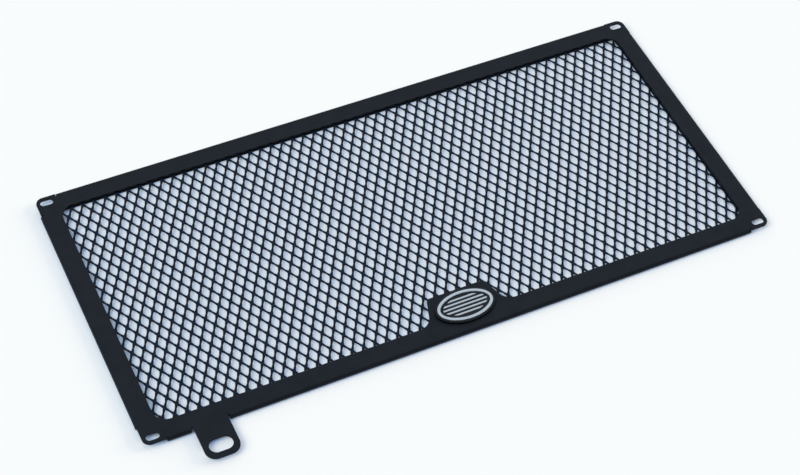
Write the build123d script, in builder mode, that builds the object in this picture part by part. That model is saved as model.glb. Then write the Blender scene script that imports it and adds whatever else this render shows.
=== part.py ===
"""A motorcycle radiator guard: a hemmed sheet frame, the diamond mesh that it grips and an oval badge.

The guard lies flat, with +X along its long sides, +Y away from its fixing tab and +Z up. The origin is the
centre of the four corner slots, on the underside of the ears. All sizes are in millimetres.
"""

from build123d import *
import os
from math import hypot

# Stock
sheet_thickness = 1.0
mesh_thickness = 1.2

# Plan of the frame, measured to its outer line
guard_width = 350.0
guard_depth = 162.0
border_width = 10.5
window_radius = 7.0
window_edge_radius = 0.25

# Hems, with a relief notch at both ends of each fold
flange_width = 10.5
ear_relief_width = 0.4
tab_relief_width = 1.0
relief_past_fold = 0.4

# Corner ears, whose slots run along X
ear_length = 11.6
ear_setback = 0.5
ear_radius = 4.0
ear_slot_length = 6.8
ear_slot_width = 3.5
ear_slot_from_short_side = 5.9
ear_slot_from_long_side = 4.3

# Fixing tab on the front side, with a slot along X
tab_width = 17.8
tab_reach = 19.0
tab_from_left_side = 34.0
tab_radius = 5.5
tab_slot_length = 12.0
tab_slot_width = 7.4
tab_slot_from_end = 6.8

# Tongue under the badge, which reaches from the front border into the window
tongue_from_middle = 1.3
tongue_reach = 15.6
tongue_tip_width = 32.0
tongue_root_width = 42.6
tongue_tip_radius = 2.0
tongue_root_radius = 8.0

# Mesh panel: the edge that the hems trap, and the net of diamond gaps
mesh_edge_clearance = 0.4
mesh_under_border = 1.2
gap_columns = 13
gap_rows = 4
strand_width = 5.4

# Badge: a plate with a raised ring and raised bars
badge_length = 32.6
badge_height = 19.6
badge_thickness = 1.5
badge_from_front = 14.7
badge_edge_chamfer = 0.4
badge_relief = 0.3
badge_ring_margin = 1.2
badge_ring_width = 1.5
badge_bar_width = 1.0
badge_bar_pitch = 2.2
badge_bar_count = 5
badge_bar_margin = 1.4

# Sizes that follow
half_width = guard_width / 2
half_depth = guard_depth / 2
hem_thickness = 2 * sheet_thickness + mesh_thickness
fold_radius = hem_thickness / 2
fold_middle = sheet_thickness - fold_radius
flange_top = -mesh_thickness
flange_bottom = flange_top - sheet_thickness
relief_depth = fold_radius + relief_past_fold
tab_left = tab_from_left_side - tab_width / 2
tab_right = tab_from_left_side + tab_width / 2
tab_end = -half_depth - tab_reach
window_width = guard_width - 2 * border_width
window_depth = guard_depth - 2 * border_width
window_front = -window_depth / 2
tongue_tip = window_front + tongue_reach

# The four sides in turn, anticlockwise from the front: first corner and inward direction
front = (Vector(-half_width, -half_depth), Vector(0, 1))
right = (Vector(half_width, -half_depth), Vector(-1, 0))
back = (Vector(half_width, half_depth), Vector(0, -1))
left = (Vector(-half_width, half_depth), Vector(1, 0))

# Each run of flat sheet that is folded: its side, where it starts and ends along that side, and the reliefs
# left there at its two ends
hem_runs = [
    (front, ear_length, tab_left, ear_relief_width, tab_relief_width),
    (front, tab_right, guard_width - ear_length, tab_relief_width, ear_relief_width),
    (right, ear_length, guard_depth - ear_length, ear_relief_width, ear_relief_width),
    (back, ear_length, guard_width - ear_length, ear_relief_width, ear_relief_width),
    (left, ear_length, guard_depth - ear_length, ear_relief_width, ear_relief_width),
]


def section_plane(side, distance):
    """The plane across a side at a distance along it: X points inwards from the outer line, and Y up."""
    corner, inward = side
    along = inward.cross(Vector(0, 0, 1))
    return Plane(origin=corner + along * distance, x_dir=inward, z_dir=along)


def fold_hem(side, first, last, first_relief, last_relief):
    """Cuts the flat sheet back along one run, and folds the hem there round the mesh's edge."""
    with BuildSketch(section_plane(side, first)) as strip:
        Rectangle(relief_depth, sheet_thickness, align=(Align.MIN, Align.MIN))
    extrude(strip.sketch, amount=last - first, mode=Mode.SUBTRACT)

    with BuildSketch(section_plane(side, first + first_relief)) as profile:
        with BuildLine():
            Line((relief_depth, sheet_thickness), (fold_radius, sheet_thickness))
            ThreePointArc((fold_radius, sheet_thickness), (0, fold_middle), (fold_radius, flange_bottom))
            Polyline(
                (fold_radius, flange_bottom),
                (flange_width, flange_bottom),
                (flange_width, flange_top),
                (fold_radius, flange_top),
            )
            ThreePointArc((fold_radius, flange_top), (sheet_thickness, fold_middle), (fold_radius, 0))
            Polyline((fold_radius, 0), (relief_depth, 0), (relief_depth, sheet_thickness))
        make_face()
    extrude(profile.sketch, amount=last - first - first_relief - last_relief)


# Frame
with BuildPart() as frame:
    # The flat sheet: a rectangle with rounded ears, and the tab
    with BuildSketch() as flat:
        RectangleRounded(guard_width - 2 * ear_setback, guard_depth - 2 * ear_setback, ear_radius)
        with Locations((tab_from_left_side - half_width, tab_end)):
            Rectangle(tab_width, tab_reach + border_width, align=(Align.CENTER, Align.MIN))
        fillet(flat.vertices().group_by(Axis.Y)[0], tab_radius)
    extrude(amount=sheet_thickness)

    for hem_run in hem_runs:
        fold_hem(*hem_run)

    # The window, with the tongue left standing in it
    with BuildSketch() as window:
        RectangleRounded(window_width, window_depth, window_radius)
        with BuildLine():
            Polyline(
                (tongue_from_middle - tongue_root_width / 2, window_front),
                (tongue_from_middle - tongue_tip_width / 2, tongue_tip),
                (tongue_from_middle + tongue_tip_width / 2, tongue_tip),
                (tongue_from_middle + tongue_root_width / 2, window_front),
                close=True,
            )
        make_face(mode=Mode.SUBTRACT)
        root_corners = window.vertices().group_by(Axis.Y)[0].sort_by(Axis.X)[1:-1]
        fillet(root_corners, tongue_root_radius)
        tip_corners = window.vertices().sort_by_distance((tongue_from_middle, tongue_tip))[:2]
        fillet(tip_corners, tongue_tip_radius)
    extrude(amount=sheet_thickness, mode=Mode.SUBTRACT)

    # The coating softens the window's upper edge
    top_face = frame.faces().sort_by(Axis.Z)[-1]
    fillet(top_face.inner_wires()[0].edges(), window_edge_radius)

    # The ear slots
    with BuildSketch():
        with GridLocations(
            guard_width - 2 * ear_slot_from_short_side,
            guard_depth - 2 * ear_slot_from_long_side,
            2,
            2,
        ):
            SlotOverall(ear_slot_length, ear_slot_width)
    extrude(amount=sheet_thickness, mode=Mode.SUBTRACT)

    # The tab slot
    with BuildSketch():
        with Locations((tab_from_left_side - half_width, tab_end + tab_slot_from_end)):
            SlotOverall(tab_slot_length, tab_slot_width)
    extrude(amount=sheet_thickness, mode=Mode.SUBTRACT)

# Mesh panel
panel_inset = fold_radius + mesh_edge_clearance
corner_notch = border_width + mesh_under_border
gap_pitch_x = window_width / gap_columns
gap_pitch_y = window_depth / gap_rows
side_distance = gap_pitch_x * gap_pitch_y / (2 * hypot(gap_pitch_x, gap_pitch_y))
gap_scale = 1 - strand_width / (2 * side_distance)
gap_half_x = gap_scale * gap_pitch_x / 2
gap_half_y = gap_scale * gap_pitch_y / 2


def staggered_places():
    """The centres of the diamond gaps: full ones inside the window, and halves along its sides."""
    places = []
    for column in range(-gap_columns, gap_columns + 1):
        for row in range(-gap_rows, gap_rows + 1):
            in_corner = abs(column) == gap_columns and abs(row) == gap_rows
            on_net = (column + gap_columns) % 2 == (row + gap_rows) % 2
            if on_net and not in_corner:
                places.append((column * gap_pitch_x / 2, row * gap_pitch_y / 2))
    return places


with BuildPart() as mesh_panel:
    with BuildSketch():
        Rectangle(guard_width - 2 * panel_inset, guard_depth - 2 * panel_inset)
        with GridLocations(guard_width, guard_depth, 2, 2):
            Rectangle(2 * corner_notch, 2 * corner_notch, mode=Mode.SUBTRACT)
    extrude(amount=-mesh_thickness)

    with BuildSketch():
        with Locations(*staggered_places()):
            Polygon((gap_half_x, 0), (0, gap_half_y), (-gap_half_x, 0), (0, -gap_half_y))
        RectangleRounded(window_width, window_depth, window_radius, mode=Mode.INTERSECT)
    extrude(amount=-mesh_thickness, mode=Mode.SUBTRACT)

# Badge
badge_centre = (tongue_from_middle, badge_from_front - half_depth)
badge_top = sheet_thickness + badge_thickness
ring_half_length = badge_length / 2 - badge_ring_margin
ring_half_height = badge_height / 2 - badge_ring_margin
bars_half_length = ring_half_length - badge_ring_width - badge_bar_margin
bars_half_height = ring_half_height - badge_ring_width - badge_bar_margin

with BuildPart() as badge:
    with BuildSketch(Plane.XY.offset(sheet_thickness)):
        with Locations(badge_centre):
            Ellipse(badge_length / 2, badge_height / 2)
    extrude(amount=badge_thickness)
    chamfer(badge.edges().group_by(Axis.Z)[-1], badge_edge_chamfer)

    # The raised ring
    with BuildSketch(Plane.XY.offset(badge_top)):
        with Locations(badge_centre):
            Ellipse(ring_half_length, ring_half_height)
            Ellipse(
                ring_half_length - badge_ring_width,
                ring_half_height - badge_ring_width,
                mode=Mode.SUBTRACT,
            )
    extrude(amount=badge_relief)

    # The raised bars, cut to an oval inside the ring
    with BuildSketch(Plane.XY.offset(badge_top)):
        with Locations(badge_centre):
            with GridLocations(0, badge_bar_pitch, 1, badge_bar_count):
                Rectangle(badge_length, badge_bar_width)
        with Locations(badge_centre):
            Ellipse(bars_half_length, bars_half_height, mode=Mode.INTERSECT)
    extrude(amount=badge_relief)

# Written files
os.makedirs("parts", exist_ok=True)
frame.part.label = "frame"
mesh_panel.part.label = "mesh_panel"
badge.part.label = "badge"
export_step(frame.part, "parts/frame.step")
export_step(mesh_panel.part, "parts/mesh_panel.step")
export_step(badge.part, "parts/badge.step")
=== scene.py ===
"""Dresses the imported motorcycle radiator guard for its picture.

The folded frame gets softened edges and a satin black powder coat, the mesh panel becomes expanded metal at
its true pitch, and the badge gets a bright relief on a black plate. All lengths are in metres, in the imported
model's own frame: +X along the long sides, +Y away from the fixing tab and +Z up.
"""

import logging
from dataclasses import dataclass
from enum import Enum
from math import cos, radians, sin

import bmesh
import bpy
from mathutils import Matrix, Vector

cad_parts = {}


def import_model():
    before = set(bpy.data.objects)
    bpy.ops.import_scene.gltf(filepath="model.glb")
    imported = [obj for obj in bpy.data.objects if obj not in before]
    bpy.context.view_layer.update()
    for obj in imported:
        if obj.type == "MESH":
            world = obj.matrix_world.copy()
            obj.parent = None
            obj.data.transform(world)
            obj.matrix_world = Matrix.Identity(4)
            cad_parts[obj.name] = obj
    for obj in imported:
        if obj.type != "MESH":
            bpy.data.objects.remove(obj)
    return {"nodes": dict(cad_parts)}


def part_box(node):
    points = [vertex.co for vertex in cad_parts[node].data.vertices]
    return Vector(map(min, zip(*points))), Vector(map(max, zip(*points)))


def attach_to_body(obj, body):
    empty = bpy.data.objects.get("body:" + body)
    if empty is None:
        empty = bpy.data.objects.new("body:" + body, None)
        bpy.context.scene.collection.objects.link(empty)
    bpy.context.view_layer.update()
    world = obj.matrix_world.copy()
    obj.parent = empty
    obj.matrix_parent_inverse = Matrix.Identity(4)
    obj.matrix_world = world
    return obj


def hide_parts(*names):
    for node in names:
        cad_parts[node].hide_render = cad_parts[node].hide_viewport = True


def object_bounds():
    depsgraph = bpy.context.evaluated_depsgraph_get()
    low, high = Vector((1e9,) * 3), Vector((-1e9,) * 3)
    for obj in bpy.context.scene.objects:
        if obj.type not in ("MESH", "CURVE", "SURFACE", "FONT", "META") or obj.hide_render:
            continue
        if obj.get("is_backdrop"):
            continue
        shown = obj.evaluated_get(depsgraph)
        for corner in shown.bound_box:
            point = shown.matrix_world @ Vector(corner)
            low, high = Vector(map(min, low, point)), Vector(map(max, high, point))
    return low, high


# One millimetre, and the distance within which two points of a shape are merged
MM = 0.001
MERGE_DISTANCE = 0.0005 * MM

RIGHT_ANGLE = radians(90)
LOG = logging.getLogger("radiator_guard")

# The colour sockets of a Mix node share their names with its other sockets, so they go by their places
MIX_FIRST_COLOUR = 6
MIX_SECOND_COLOUR = 7
MIX_COLOUR = 2

# How many finer layers the two kinds of noise in a coat have
PEEL_DETAIL = 2.0
MOTTLE_DETAIL = 4.0

Colour = tuple[float, float, float]
Geometry = bmesh.types.BMVert | bmesh.types.BMEdge | bmesh.types.BMFace


class Node(Enum):
    """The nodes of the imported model."""

    FRAME = "frame"
    MESH = "mesh_panel"
    BADGE = "badge"


class Slot(Enum):
    """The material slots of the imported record."""

    FRAME_COAT = "frame_coat"
    MESH_COAT = "mesh_coat"
    BADGE_PLATE = "badge_plate"


class Graph:
    """Adds and joins the nodes of one node tree."""

    def __init__(self, tree: bpy.types.NodeTree) -> None:
        """Takes the tree that the nodes go in."""
        self.tree = tree

    def feed(self, socket: bpy.types.NodeSocket, value: object) -> None:
        """Sets an input socket to a value, or joins a source socket to it.

        Args:
            socket: the input socket.
            value: its value, or the output socket that it is joined to.
        """
        if isinstance(value, bpy.types.NodeSocket):
            self.tree.links.new(value, socket)
        else:
            socket.default_value = value

    def add(self, kind: str, inputs: dict[str, object] | None = None, **settings: object) -> bpy.types.Node:
        """Adds one node.

        Args:
            kind: the node's type name.
            inputs: the values or source sockets of its inputs, by input name.
            settings: the node's own properties.

        Returns:
            The new node.
        """
        node = self.tree.nodes.new(kind)
        for name, value in settings.items():
            setattr(node, name, value)
        for name, value in (inputs or {}).items():
            self.feed(node.inputs[name], value)
        return node

    def math(self, operation: str, *values: object) -> bpy.types.NodeSocket:
        """Adds one Math node.

        Args:
            operation: the sum that it does.
            values: the values or source sockets of its inputs, in their order.

        Returns:
            The new node's output socket.
        """
        node = self.add("ShaderNodeMath", operation=operation)
        for socket, value in zip(node.inputs, values):
            self.feed(socket, value)
        return node.outputs[0]


def rgba(colour: Colour) -> tuple[float, float, float, float]:
    """A colour with full alpha."""
    return (*colour, 1.0)


def coat_skin() -> bpy.types.NodeTree:
    """Makes, once, the group for the skin of a coat: a fine orange peel and a broad faint mottle.

    Returns:
        The node group, with the inputs Peel Size and Mottle Size and the outputs Height and Mottle.
    """
    name = "coat_skin"
    if name in bpy.data.node_groups:
        return bpy.data.node_groups[name]
    tree = bpy.data.node_groups.new(name, "ShaderNodeTree")
    layers = (("Peel Size", PEEL_DETAIL, "Height"), ("Mottle Size", MOTTLE_DETAIL, "Mottle"))
    for size, _, result in layers:
        tree.interface.new_socket(size, in_out="INPUT", socket_type="NodeSocketFloat")
        tree.interface.new_socket(result, in_out="OUTPUT", socket_type="NodeSocketFloat")
    graph = Graph(tree)
    sizes = graph.add("NodeGroupInput")
    place = graph.add("ShaderNodeTexCoord").outputs["Object"]
    results = graph.add("NodeGroupOutput")
    for size, detail, result in layers:
        scale = graph.math("DIVIDE", 1.0, sizes.outputs[size])
        noise = graph.add("ShaderNodeTexNoise", {"Vector": place, "Scale": scale, "Detail": detail})
        graph.feed(results.inputs[result], noise.outputs["Fac"])
    return tree


@dataclass(frozen=True)
class Coat:
    """A coat of paint or powder, or a bare satin metal: two close tones, a range of gloss and an orange peel.

    Attributes:
        name: the material's name.
        dark: the darker tone.
        light: the lighter tone.
        smooth: the roughness of the glossier patches.
        rough: the roughness of the duller patches.
        peel_size: the width of the orange peel's bumps.
        peel_height: the height of those bumps.
        mottle_size: the width of the patches of tone and gloss.
        specular: the strength of the reflections at the surface.
        metallic: 1.0 for bare metal.
    """

    name: str
    dark: Colour
    light: Colour
    smooth: float
    rough: float
    peel_size: float
    peel_height: float
    mottle_size: float
    specular: float = 0.5
    metallic: float = 0.0

    def material(self) -> bpy.types.Material:
        """Makes the coat's material.

        Returns:
            The new material.
        """
        material = bpy.data.materials.new(self.name)
        material.use_nodes = True
        graph = Graph(material.node_tree)
        skin = graph.add("ShaderNodeGroup", node_tree=coat_skin())
        graph.feed(skin.inputs["Peel Size"], self.peel_size)
        graph.feed(skin.inputs["Mottle Size"], self.mottle_size)
        mottle = skin.outputs["Mottle"]
        tone = graph.add("ShaderNodeMix", {"Factor": mottle}, data_type="RGBA")
        graph.feed(tone.inputs[MIX_FIRST_COLOUR], rgba(self.dark))
        graph.feed(tone.inputs[MIX_SECOND_COLOUR], rgba(self.light))
        gloss = graph.add(
            "ShaderNodeMapRange",
            {"Value": mottle, "To Min": self.smooth, "To Max": self.rough},
        )
        bump = graph.add("ShaderNodeBump", {"Height": skin.outputs["Height"], "Distance": self.peel_height})
        shader = material.node_tree.nodes["Principled BSDF"]
        graph.feed(shader.inputs["Base Color"], tone.outputs[MIX_COLOUR])
        graph.feed(shader.inputs["Roughness"], gloss.outputs["Result"])
        graph.feed(shader.inputs["Normal"], bump.outputs["Normal"])
        graph.feed(shader.inputs["Metallic"], self.metallic)
        graph.feed(shader.inputs["Specular IOR Level"], self.specular)
        return material


FRAME_COAT = Coat(
    name="satin_black_powder_coat",
    dark=(0.0054, 0.0081, 0.0128),
    light=(0.0132, 0.0168, 0.0232),
    smooth=0.34,
    rough=0.44,
    peel_size=0.7 * MM,
    peel_height=0.08 * MM,
    mottle_size=9.0 * MM,
    specular=0.12,
)
MESH_COAT = Coat(
    name="black_mesh_coat",
    dark=(0.004, 0.009, 0.021),
    light=(0.006, 0.012, 0.026),
    smooth=0.34,
    rough=0.44,
    peel_size=0.5 * MM,
    peel_height=0.04 * MM,
    mottle_size=5.0 * MM,
    specular=0.1,
)
BADGE_BLACK = Coat(
    name="badge_black_paint",
    dark=(0.008, 0.009, 0.010),
    light=(0.012, 0.013, 0.015),
    smooth=0.36,
    rough=0.46,
    peel_size=0.4 * MM,
    peel_height=0.004 * MM,
    mottle_size=4.0 * MM,
    specular=0.2,
)
BADGE_BRIGHT = Coat(
    name="badge_satin_metal",
    dark=(0.59, 0.65, 0.72),
    light=(0.71, 0.77, 0.83),
    smooth=0.32,
    rough=0.46,
    peel_size=0.25 * MM,
    peel_height=0.004 * MM,
    mottle_size=2.0 * MM,
    metallic=1.0,
)


def everything(bm: bmesh.types.BMesh) -> list[Geometry]:
    """All the geometry of a bmesh, as an operator's input."""
    return [*bm.verts, *bm.edges, *bm.faces]


def points(geometry: list[Geometry]) -> list[bmesh.types.BMVert]:
    """The points among an operator's results."""
    return [item for item in geometry if isinstance(item, bmesh.types.BMVert)]


def touching(faces: set[bmesh.types.BMFace]) -> set[bmesh.types.BMFace]:
    """Some faces of a bmesh and all that share an edge with them."""
    return {other for face in faces for edge in face.edges for other in edge.link_faces}


def soften(bm: bmesh.types.BMesh, edges: list[bmesh.types.BMEdge], width: float, segments: int) -> None:
    """Rounds some edges of a shape.

    Args:
        bm: the shape.
        edges: the edges, each between two faces that are turned the same way.
        width: how far the rounding reaches from an edge.
        segments: the number of faces across the rounding, where one makes a chamfer.
    """
    bmesh.ops.bevel(
        bm,
        geom=edges,
        offset=width,
        offset_type="OFFSET",
        segments=segments,
        profile=0.5,
        affect="EDGES",
        clamp_overlap=True,
        material=-1,
    )


def add_object(name: str, bm: bmesh.types.BMesh, materials: list[bpy.types.Material]) -> bpy.types.Object:
    """Makes an object at the origin from a bmesh, which it frees.

    Args:
        name: the object's name.
        bm: the shape, in its place.
        materials: the materials of the shape's faces, by index.

    Returns:
        The new object, in the scene.
    """
    mesh = bpy.data.meshes.new(name)
    bm.to_mesh(mesh)
    bm.free()
    for material in materials:
        mesh.materials.append(material)
    piece = bpy.data.objects.new(name, mesh)
    bpy.context.scene.collection.objects.link(piece)
    return piece


def attach(piece: bpy.types.Object, node: Node) -> bpy.types.Object:
    """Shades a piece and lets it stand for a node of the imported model, on the guard's one body.

    Args:
        piece: the piece, in its place.
        node: the node that it replaces.

    Returns:
        The same piece.
    """
    piece.data.shade_smooth()
    normals = piece.modifiers.new("flat_faces", "WEIGHTED_NORMAL")
    normals.keep_sharp = True
    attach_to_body(piece, "root")
    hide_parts(node.value)
    return piece


@dataclass
class FoldedFrame:
    """The hemmed sheet frame, with the edges that its coat softens.

    Attributes:
        sheet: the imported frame.
        edge_radius: the rounding of its cut edges.
        edge_segments: the number of faces across that rounding.
        flat_angle: faces that meet at less than this angle become one.
        sharp_angle: edges that turn by more than this angle are cut edges.
    """

    sheet: bpy.types.Object
    edge_radius: float = 0.14 * MM
    edge_segments: int = 2
    flat_angle: float = radians(0.5)
    sharp_angle: float = radians(40)

    def shape(self) -> bmesh.types.BMesh:
        """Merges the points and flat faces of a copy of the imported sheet, and rounds its cut edges.

        Returns:
            The new shape.
        """
        bm = bmesh.new()
        bm.from_mesh(self.sheet.data)
        bmesh.ops.remove_doubles(bm, verts=bm.verts, dist=MERGE_DISTANCE)
        bmesh.ops.dissolve_limit(bm, angle_limit=self.flat_angle, verts=bm.verts, edges=bm.edges)
        sharp = [edge for edge in bm.edges if edge.calc_face_angle(0.0) > self.sharp_angle]
        soften(bm, sharp, self.edge_radius, self.edge_segments)
        return bm

    def build(self) -> bpy.types.Object:
        """Makes the frame's piece."""
        piece = add_object("folded_frame", self.shape(), [FRAME_COAT.material()])
        return attach(piece, Node.FRAME)


@dataclass
class ExpandedMesh:
    """The expanded metal panel: a staggered net of strands round diamond openings.

    Attributes:
        low: the lower corner of the panel's box.
        high: the upper corner of the panel's box.
        pitch_x: the distance from one opening to the next along X.
        pitch_y: the same along Y.
        opening_x: where the middle of one opening is along X.
        opening_y: the same along Y.
        net_turn: how far the net lies askew in the frame.
        strand_width: the width of a flat strand.
        gauge: the thickness of the strands.
        corner_pull_x: the scale that blunts the corners of an opening along X.
        corner_pull_y: the same along Y.
        rim_tilt: the turn of an opening's rim about Y, which twists the strands, as stretching does.
        wall_lean: the turn of the strands' walls about Y, away from upright.
        edge_width: the width of the chamfers along the rims.
        edge_segments: the number of faces across a chamfer.
        corner_angle: points of a rim with a smaller inner angle than this are its corners.
        corner_notch: the side of the square notch at each corner of the panel.
        column_doublings: how often the net is doubled along X, from two cells to beyond the panel.
        row_doublings: the same along Y.
    """

    low: Vector
    high: Vector
    pitch_x: float = 6.2135 * MM
    pitch_y: float = 10.189 * MM
    opening_x: float = 0.28 * MM
    opening_y: float = -1.43 * MM
    net_turn: float = radians(0.2)
    strand_width: float = 0.85 * MM
    gauge: float = 0.5 * MM
    corner_pull_x: float = 0.84
    corner_pull_y: float = 0.89
    rim_tilt: float = radians(-8)
    wall_lean: float = radians(28)
    edge_width: float = 0.09 * MM
    edge_segments: int = 1
    corner_angle: float = radians(170)
    corner_notch: float = 9.9 * MM
    column_doublings: int = 6
    row_doublings: int = 5

    def ring(self, bm: bmesh.types.BMesh) -> list[bmesh.types.BMEdge]:
        """Makes the surface of one cell: half a strand round a blunt, tilted diamond opening.

        Args:
            bm: the empty shape that the surface goes in.

        Returns:
            The edges of the opening's rim.
        """
        # A diamond of one unit, stretched to the size of a cell, with a point halfway along each side
        bmesh.ops.create_circle(bm, cap_ends=True, segments=4, radius=0.5)
        bmesh.ops.scale(bm, vec=(self.pitch_x, self.pitch_y, 1), verts=bm.verts)
        bmesh.ops.bisect_edges(bm, edges=bm.edges, cuts=1)
        opening = bm.faces[:][0]
        half_strand = self.strand_width / 2
        bmesh.ops.inset_individual(bm, faces=[opening], thickness=half_strand, use_even_offset=True)
        corners = [loop.vert for loop in opening.loops if loop.calc_angle() < self.corner_angle]
        bmesh.ops.scale(bm, vec=(self.corner_pull_x, self.corner_pull_y, 1), verts=corners)
        tilt = Matrix.Rotation(self.rim_tilt, 3, "Y")
        bmesh.ops.rotate(bm, verts=opening.verts, cent=(0, 0, 0), matrix=tilt)
        rim = opening.edges[:]
        bmesh.ops.delete(bm, geom=[opening], context="FACES")
        return rim

    def cell(self) -> bmesh.types.BMesh:
        """Makes one solid cell of the net: two surfaces, and the opening's walls with softened rims.

        Returns:
            The cell, which is open on its four outer sides, where the next cells join it.
        """
        bm = bmesh.new()
        rims = self.ring(bm)
        copy = bmesh.ops.duplicate(bm, geom=everything(bm))
        through = Matrix.Rotation(self.wall_lean, 3, "Y") @ Vector((0, 0, self.gauge))
        bmesh.ops.translate(bm, verts=points(copy["geom"]), vec=-through)
        bmesh.ops.translate(bm, verts=bm.verts, vec=through / 2)
        rims.extend([copy["edge_map"][edge] for edge in rims])
        bmesh.ops.bridge_loops(bm, edges=rims)
        bmesh.ops.recalc_face_normals(bm, faces=bm.faces)
        soften(bm, rims, self.edge_width, self.edge_segments)
        return bm

    def repeat(self, bm: bmesh.types.BMesh, step: Vector, doublings: int) -> None:
        """Copies a shape until it fills a row.

        Args:
            bm: the shape.
            step: the way from each copy to the next.
            doublings: how often the row's length is doubled.
        """
        for power in range(doublings):
            copy = bmesh.ops.duplicate(bm, geom=everything(bm))
            bmesh.ops.translate(bm, verts=points(copy["geom"]), vec=step * 2 ** power)

    def net(self) -> bmesh.types.BMesh:
        """Makes the net, with staggered cells to beyond the panel's outline.

        Returns:
            The net, in its place.
        """
        bm = self.cell()
        across = Vector((self.pitch_x, 0, 0))
        along = Vector((0, self.pitch_y, 0))
        self.repeat(bm, (across + along) / 2, 1)
        self.repeat(bm, across, self.column_doublings)
        self.repeat(bm, along, self.row_doublings)
        bmesh.ops.remove_doubles(bm, verts=bm.verts, dist=MERGE_DISTANCE)
        opening = Vector((self.opening_x, self.opening_y, (self.low.z + self.high.z) / 2))
        start = opening - across * 2 ** self.column_doublings / 2 - along * 2 ** self.row_doublings / 2
        bmesh.ops.translate(bm, verts=bm.verts, vec=start)
        turn = Matrix.Rotation(self.net_turn, 3, "Z")
        bmesh.ops.rotate(bm, verts=bm.verts, cent=opening, matrix=turn)
        return bm

    def in_notch(self, point: Vector) -> bool:
        """Tests whether a point is in one of the panel's four corner notches.

        Args:
            point: a point inside the panel's outline.

        Returns:
            True in a notch.
        """
        beyond_x = not self.low.x + self.corner_notch < point.x < self.high.x - self.corner_notch
        beyond_y = not self.low.y + self.corner_notch < point.y < self.high.y - self.corner_notch
        return beyond_x and beyond_y

    def trim(self, bm: bmesh.types.BMesh) -> None:
        """Cuts the net to the panel's outline, with a square notch at each corner, and closes the cut ends.

        Args:
            bm: the net.
        """
        cuts = (
            (self.low, Vector((-1, 0, 0))),
            (self.low, Vector((0, -1, 0))),
            (self.high, Vector((1, 0, 0))),
            (self.high, Vector((0, 1, 0))),
        )
        for corner, outward in cuts:
            bmesh.ops.bisect_plane(
                bm, geom=everything(bm), plane_co=corner, plane_no=outward, clear_outer=True
            )
            notch_side = corner - outward * self.corner_notch
            bmesh.ops.bisect_plane(bm, geom=everything(bm), plane_co=notch_side, plane_no=outward)
        notched = [face for face in bm.faces if self.in_notch(face.calc_center_median())]
        bmesh.ops.delete(bm, geom=notched, context="FACES")
        bmesh.ops.holes_fill(bm, edges=[edge for edge in bm.edges if edge.is_boundary], sides=0)
        bmesh.ops.recalc_face_normals(bm, faces=bm.faces)

    def drop_offcuts(self, bm: bmesh.types.BMesh) -> None:
        """Deletes the snippets that the cuts have left apart from the net.

        Args:
            bm: the trimmed net.
        """
        middle = (self.low + self.high) / 2
        net: set[bmesh.types.BMFace] = set()
        front = {min(bm.faces, key=lambda face: (face.calc_center_median() - middle).length)}
        while front:
            net |= front
            front = touching(front) - net
        bmesh.ops.delete(bm, geom=[face for face in bm.faces if face not in net], context="FACES")

    def build(self) -> bpy.types.Object:
        """Makes the mesh's piece.

        Returns:
            The new piece.
        """
        bm = self.net()
        self.trim(bm)
        self.drop_offcuts(bm)
        piece = add_object("expanded_mesh", bm, [MESH_COAT.material()])
        return attach(piece, Node.MESH)


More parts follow.
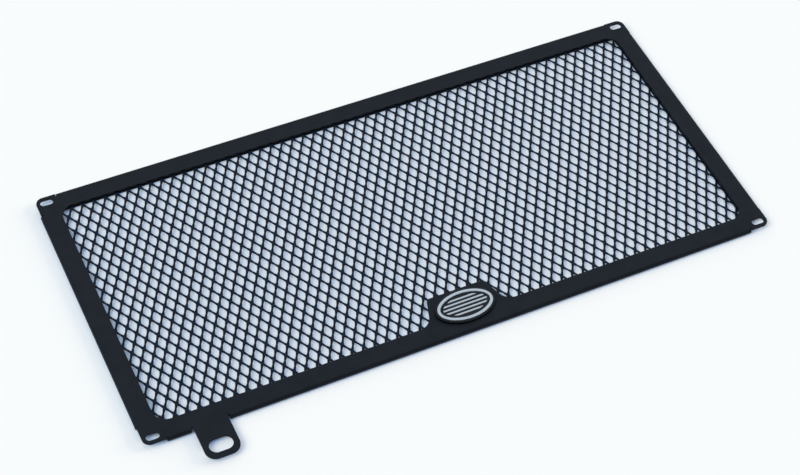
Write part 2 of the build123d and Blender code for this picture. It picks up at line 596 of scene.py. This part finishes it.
@dataclass
class BadgePlate:
    """The oval badge: a black plate with a bright raised ring and bars.

    Attributes:
        low: the lower corner of the badge's box.
        high: the upper corner of the badge's box.
        relief: how far the ring and bars stand out of the plate.
        edge_radius: the rounding of the plate's upper edge.
        ring_margin: the distance from the plate's edge to the ring.
        ring_width: the width of the ring.
        bar_margin: the distance from the ring to the oval that the bars fill.
        bar_width: the width of a bar.
        bar_pitch: the distance from one bar to the next.
        bar_count: the number of bars.
        relief_radius: the rounding of the ring and bars.
        rounding_segments: the number of faces across each rounding.
        outline_segments: the number of sides that the oval has.
    """

    low: Vector
    high: Vector
    relief: float = 0.3 * MM
    edge_radius: float = 0.4 * MM
    ring_margin: float = 1.2 * MM
    ring_width: float = 1.5 * MM
    bar_margin: float = 1.4 * MM
    bar_width: float = 1.0 * MM
    bar_pitch: float = 2.2 * MM
    bar_count: int = 5
    relief_radius: float = 0.1 * MM
    rounding_segments: int = 3
    outline_segments: int = 96

    def raise_faces(
        self, bm: bmesh.types.BMesh, faces: list[bmesh.types.BMFace], height: float, radius: float
    ) -> None:
        """Extrudes faces upwards, with rounded top edges. The faces also stay where they were.

        Args:
            bm: the shape that holds the faces.
            faces: the flat faces.
            height: how far they rise.
            radius: the rounding of their upper edges.
        """
        made = bmesh.ops.extrude_face_region(bm, geom=faces, use_keep_orig=True)["geom"]
        bmesh.ops.translate(bm, verts=points(made), vec=(0, 0, height))
        caps = [item for item in made if isinstance(item, bmesh.types.BMFace)]
        rim = [edge for cap in caps for edge in cap.edges if not set(caps).issuperset(edge.link_faces)]
        soften(bm, rim, radius, self.rounding_segments)

    def plate(self) -> bmesh.types.BMesh:
        """Makes the plain plate, with a rounded upper edge.

        Returns:
            The plate, in its place.
        """
        middle = (self.low + self.high) / 2
        size = (self.high - self.low) / 2
        place = Matrix.Translation((middle.x, middle.y, self.low.z)) @ Matrix.Diagonal((size.x, size.y, 1, 1))
        bm = bmesh.new()
        bmesh.ops.create_circle(bm, cap_ends=True, segments=self.outline_segments, radius=1.0, matrix=place)
        height = self.high.z - self.relief - self.low.z
        self.raise_faces(bm, bm.faces[:], height, self.edge_radius)
        return bm

    def inset(self, bm: bmesh.types.BMesh, top: bmesh.types.BMFace, width: float) -> list[bmesh.types.BMFace]:
        """Shrinks the plate's top face, and gives the band of faces that this leaves round it."""
        return bmesh.ops.inset_region(bm, faces=[top], thickness=width, use_even_offset=True)["faces"]

    def bars(self, bm: bmesh.types.BMesh, top: bmesh.types.BMFace) -> list[bmesh.types.BMFace]:
        """Cuts the plate's top face into bars and the gaps between them.

        Args:
            bm: the plate.
            top: its top face, as far as the bars reach.

        Returns:
            The faces of the bars.
        """
        middle = (self.low + self.high) / 2
        reach = self.bar_width / 2
        first = middle.y - (self.bar_count - 1) / 2 * self.bar_pitch
        lines = [first + index * self.bar_pitch for index in range(self.bar_count)]
        rim = list(top.verts)
        left = [vert for vert in rim if vert.co.x < middle.x]
        right = [vert for vert in rim if vert.co.x > middle.x]
        for edge in [line + side for line in lines for side in (-reach, reach)]:
            ends = [min(half, key=lambda vert, y=edge: abs(vert.co.y - y)) for half in (left, right)]
            for end in ends:
                end.co.y = edge
            bmesh.ops.connect_verts(bm, verts=ends)
        inside = [face for face in bm.faces if set(rim).issuperset(face.verts)]
        return [f for f in inside if any(abs(f.calc_center_median().y - line) < reach for line in lines)]

    def build(self) -> bpy.types.Object:
        """Makes the badge's piece.

        Returns:
            The new piece.
        """
        bm = self.plate()
        top = max(bm.faces, key=lambda face: face.calc_center_median().z)
        self.inset(bm, top, self.ring_margin - self.edge_radius)
        ring = self.inset(bm, top, self.ring_width)
        self.inset(bm, top, self.bar_margin)
        relief = [*ring, *self.bars(bm, top)]
        black_faces = set(bm.faces).difference(relief)
        self.raise_faces(bm, relief, self.relief, self.relief_radius)
        bmesh.ops.delete(bm, geom=relief, context="FACES")
        for face in bm.faces:
            face.material_index = 0 if face in black_faces else 1
        bmesh.ops.recalc_face_normals(bm, faces=bm.faces)
        piece = add_object("badge_plate", bm, [BADGE_BLACK.material(), BADGE_BRIGHT.material()])
        return attach(piece, Node.BADGE)


@dataclass(frozen=True)
class Softbox:
    """One wide, distant lamp, which isn't mirrored in glossy surfaces.

    Attributes:
        name: the lamp's name.
        azimuth: its direction from the guard, from +X towards +Y.
        elevation: its angle above the floor.
        width: the angle that it fills, as seen from the guard.
        strength: its light on a surface that faces it, in watts to the square metre.
        colour: the colour of its light.
    """

    name: str
    azimuth: float
    elevation: float
    width: float
    strength: float
    colour: Colour

    def build(self) -> None:
        """Adds the lamp to the scene."""
        light = bpy.data.lights.new(self.name, "SUN")
        light.energy = self.strength
        light.angle = self.width
        light.color = self.colour
        lamp = bpy.data.objects.new(self.name, light)
        level = cos(self.elevation)
        towards = Vector((level * cos(self.azimuth), level * sin(self.azimuth), sin(self.elevation)))
        lamp.rotation_euler = towards.to_track_quat("Z", "Y").to_euler()
        lamp.visible_glossy = False
        bpy.context.scene.collection.objects.link(lamp)


KEY = Softbox(
    name="key_softbox",
    azimuth=radians(185),
    elevation=radians(45),
    width=radians(40),
    strength=1.78,
    colour=(0.97, 1.0, 1.03),
)
LOW = Softbox(
    name="low_softbox",
    azimuth=radians(0),
    elevation=radians(18),
    width=radians(30),
    strength=1.63,
    colour=(1.0, 0.85, 0.7),
)


@dataclass
class Studio:
    """The pale floor and the plain soft light round the guard.

    Attributes:
        floor_height: the height of the floor, which the guard lies on.
        softboxes: the lamps.
        floor_size: the side of the square floor.
        floor_colour: the colour of the floor's sheet under the lamps, a tan that the painted glow makes white.
        floor_roughness: how dull the floor is.
        floor_specular: the strength of the reflections on the floor.
        floor_glow: the colour of the faint painted bluish light that is added to it, most seen in its shadows.
        glow_reach: how near a thing has to be to shade the glow.
        glow_from: the open share of the view up from the floor at which the glow starts.
        glow_full: the open share at which the glow is full.
        dome_colour: the colour of the light from all round.
        dome_bright_side: the direction that most of it comes from.
        dome_strength: its strength at right angles to that direction.
        dome_contrast: how much stronger it is from that direction, and weaker from the opposite one.
        dome_darkest: its least strength.
    """

    floor_height: float
    softboxes: tuple[Softbox, ...] = (KEY, LOW)
    floor_size: float = 30.0
    floor_colour: Colour = (0.868, 0.77, 0.58)
    floor_roughness: float = 0.9
    floor_specular: float = 0.1
    floor_glow: Colour = (0.068, 0.18, 0.37)
    glow_reach: float = 8.0 * MM
    glow_from: float = 0.1
    glow_full: float = 0.4
    dome_colour: Colour = (0.925, 1.0, 1.066)
    dome_bright_side: tuple[float, float, float] = (0.15, 0.80, 0.58)
    dome_strength: float = 0.27
    dome_contrast: float = 0.58
    dome_darkest: float = 0.02

    def floor_material(self) -> bpy.types.Material:
        """Makes the floor's material: a pale sheet whose shadows stay bluish.

        The blue part of the white is a faint painted glow that is only seen, by the camera and in reflections,
        so it lights nothing. It fades out where the floor is nearly closed in, a painted shade that keeps deep
        recesses dark.

        Returns:
            The new material.
        """
        material = bpy.data.materials.new("pale_floor")
        material.use_nodes = True
        graph = Graph(material.node_tree)
        sheet = material.node_tree.nodes["Principled BSDF"]
        graph.feed(sheet.inputs["Base Color"], rgba(self.floor_colour))
        graph.feed(sheet.inputs["Roughness"], self.floor_roughness)
        graph.feed(sheet.inputs["Specular IOR Level"], self.floor_specular)
        rays = graph.add("ShaderNodeLightPath").outputs
        seen = rays["Is Camera Ray"]
        for name in ("Is Glossy Ray", "Is Transmission Ray"):
            seen = graph.math("MAXIMUM", seen, rays[name])
        # Painted shade: ambient occlusion takes the painted glow out where the floor is closed in
        open_share = graph.add("ShaderNodeAmbientOcclusion", {"Distance": self.glow_reach}).outputs["AO"]
        fade = graph.add(
            "ShaderNodeMapRange",
            {"Value": open_share, "From Min": self.glow_from, "From Max": self.glow_full, "To Max": 1.0},
        )
        level = graph.math("MULTIPLY", seen, fade.outputs["Result"])
        glow = graph.add("ShaderNodeEmission", {"Color": rgba(self.floor_glow), "Strength": level})
        both = graph.add("ShaderNodeAddShader")
        graph.feed(both.inputs[0], sheet.outputs["BSDF"])
        graph.feed(both.inputs[1], glow.outputs["Emission"])
        graph.feed(material.node_tree.nodes["Material Output"].inputs["Surface"], both.outputs[0])
        return material

    def floor(self) -> None:
        """Makes the floor, at the height that the guard lies on."""
        bm = bmesh.new()
        bmesh.ops.create_grid(bm, x_segments=1, y_segments=1, size=self.floor_size / 2)
        bmesh.ops.translate(bm, verts=bm.verts, vec=(0, 0, self.floor_height))
        floor = add_object("floor", bm, [self.floor_material()])
        floor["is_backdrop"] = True

    def dome(self) -> None:
        """Sets the soft light from all round: bright above and behind the guard, dim in front of it."""
        world = bpy.data.worlds.new("soft_dome")
        world.use_nodes = True
        graph = Graph(world.node_tree)
        direction = graph.add("ShaderNodeTexCoord").outputs["Generated"]
        facing = graph.add("ShaderNodeVectorMath", operation="DOT_PRODUCT")
        graph.feed(facing.inputs[0], direction)
        graph.feed(facing.inputs[1], self.dome_bright_side)
        slope = graph.math("MULTIPLY_ADD", facing.outputs["Value"], self.dome_contrast, self.dome_strength)
        level = graph.math("MAXIMUM", slope, self.dome_darkest)
        background = world.node_tree.nodes["Background"]
        graph.feed(background.inputs["Color"], rgba(self.dome_colour))
        graph.feed(background.inputs["Strength"], level)
        bpy.context.scene.world = world

    def build(self) -> None:
        """Makes the floor and the lights."""
        self.floor()
        self.dome()
        for softbox in self.softboxes:
            softbox.build()


@dataclass
class CameraRig:
    """The camera: it looks down on the guard from its front left, slightly rolled.

    Attributes:
        target: the point in the middle of the picture.
        distance: how far the camera is from that point.
        azimuth: the camera's turn round the guard, from the front towards +X.
        elevation: its angle above the floor.
        roll: its turn about the line of sight.
        lens: the focal length, in millimetres on the sensor.
        sensor_width: the width of the sensor, in the same millimetres.
        clip_start: the distance from which things are seen.
    """

    target: tuple[float, float, float] = (-9.80 * MM, -13.42 * MM, 0.0)
    distance: float = 966.37 * MM
    azimuth: float = radians(-29.858)
    elevation: float = radians(51.872)
    roll: float = radians(5.757)
    lens: float = 84.26
    sensor_width: float = 36.0
    clip_start: float = 10.0 * MM

    def build(self) -> None:
        """Makes the scene's camera."""
        data = bpy.data.cameras.new("camera")
        data.sensor_fit = "HORIZONTAL"
        data.sensor_width = self.sensor_width
        data.lens = self.lens
        data.clip_start = self.clip_start
        camera = bpy.data.objects.new("camera", data)
        turn = Matrix.Rotation(self.azimuth, 4, "Z")
        lift = Matrix.Rotation(RIGHT_ANGLE - self.elevation, 4, "X")
        roll = Matrix.Rotation(self.roll, 4, "Z")
        back = Matrix.Translation((0, 0, self.distance))
        camera.matrix_world = Matrix.Translation(self.target) @ turn @ lift @ roll @ back
        bpy.context.scene.collection.objects.link(camera)
        bpy.context.scene.camera = camera


def main() -> None:
    """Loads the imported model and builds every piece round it."""
    logging.basicConfig(level=logging.INFO, format="%(name)s: %(message)s")
    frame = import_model()
    cad_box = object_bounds()
    bpy.context.scene.view_settings.view_transform = "Standard"

    makers = (
        FoldedFrame(frame["nodes"][Node.FRAME.value]),
        ExpandedMesh(*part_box(Node.MESH.value)),
        BadgePlate(*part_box(Node.BADGE.value)),
    )
    for maker in makers:
        piece = maker.build()
        LOG.info("%s: %d faces", piece.name, len(piece.data.polygons))

    Studio(floor_height=cad_box[0][2]).build()
    CameraRig().build()


if __name__ == "__main__":
    main()
